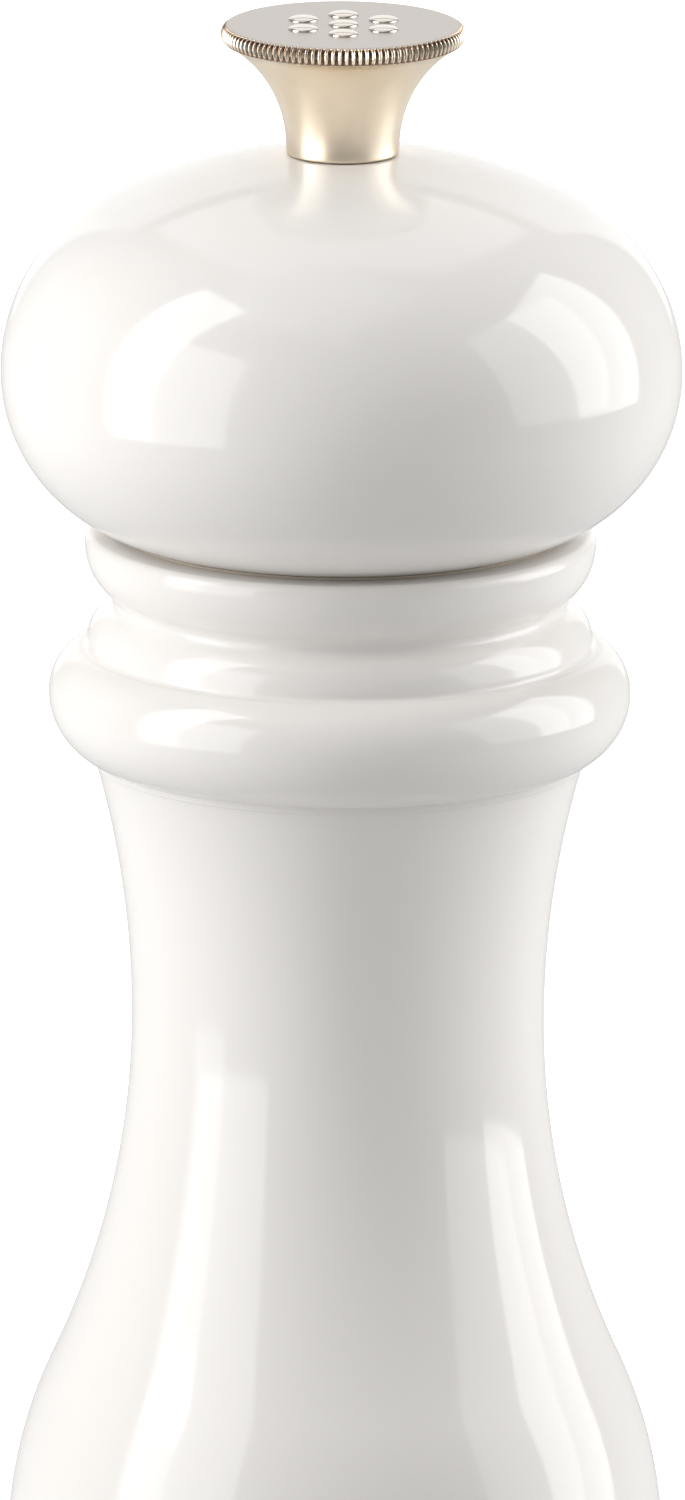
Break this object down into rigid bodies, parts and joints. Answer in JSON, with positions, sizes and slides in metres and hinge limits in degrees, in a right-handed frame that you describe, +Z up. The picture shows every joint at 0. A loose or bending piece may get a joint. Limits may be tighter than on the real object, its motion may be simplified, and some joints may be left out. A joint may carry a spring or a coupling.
{
  "type": "pepper mill",
  "caption": "Tall turned pepper mill: mushroom head that turns on a beaded collar, knurled adjusting knob, waisted hollow body, cone burrs in the foot.",
  "frame": {"origin": "centre of the foot's underside, on the table", "axes": "+Z up along the turning axis; the mill is turned round Z, so +X and +Y are free"},
  "size_m": [0.065, 0.065, 0.21],
  "materials": {
    "white_gloss": "high-gloss warm white lacquered plastic",
    "knob_metal": "satin nickel, turned, with bright polished bosses",
    "brass": "machined",
    "white_nylon": "moulded, satin",
    "glide_plastic": "low-friction ivory plastic, satin",
    "steel": "stamped stainless steel",
    "shaft_metal": "drawn aluminium bar",
    "clear_hopper": "clear moulded plastic",
    "black_plastic": "fine spark-eroded texture",
    "burr_ceramic": "unglazed fine ceramic, satin",
    "spring_wire": "drawn spring wire"
  },
  "bodies": {
    "base": {"body_shell": "white_gloss", "hopper": "clear_hopper", "glide_ring": "glide_plastic", "foot_ring": "white_gloss", "mill_housing": "black_plastic", "housing_screws": "steel", "shaft_bridge": "steel", "outer_burr": "burr_ceramic", "burr_clip": "steel"},
    "turner": {"spring_washer": "steel", "spring": "spring_wire"},
    "spindle": {"shaft": "shaft_metal", "inner_burr": "burr_ceramic", "burr_carrier": "black_plastic", "carrier_washer": "steel", "shaft_nut": "steel"},
    "head": {"head_dome": "white_gloss", "head_spigot": "white_nylon", "top_bush": "brass", "drive_plate": "steel", "drive_plate_screws": "steel"},
    "knob_seat": {"knob_washer": "white_nylon"},
    "knob": {"knob": "knob_metal", "knob_insert": "brass"}
  },
  "joints": [
    {"name": "head_spin", "type": "hinge", "parent": "base", "child": "turner", "pos_m": [0, 0, 0.022], "axis": [0, 0, 1], "continuous": true},
    {"name": "burr_shift", "type": "slide", "parent": "turner", "child": "spindle", "axis": [0, 0, 1], "range_m": [-0.0008, 0.0004], "deforming": ["spring"]},
    {"name": "head_lift", "type": "slide", "parent": "turner", "child": "head", "axis": [0, 0, 1], "range_m": [0, 0.08]},
    {"name": "knob_lift", "type": "slide", "parent": "head", "child": "knob_seat", "axis": [0, 0, 1], "range_m": [0, 0.03]},
    {"name": "knob_turn", "type": "hinge", "parent": "knob_seat", "child": "knob", "pos_m": [0, 0, 0.2], "axis": [0, 0, 1], "range_deg": [-180, 360]}
  ],
  "couplings": [
    {"joint": "knob_turn", "follows": "burr_shift", "rad_per_m": -7854}
  ]
}
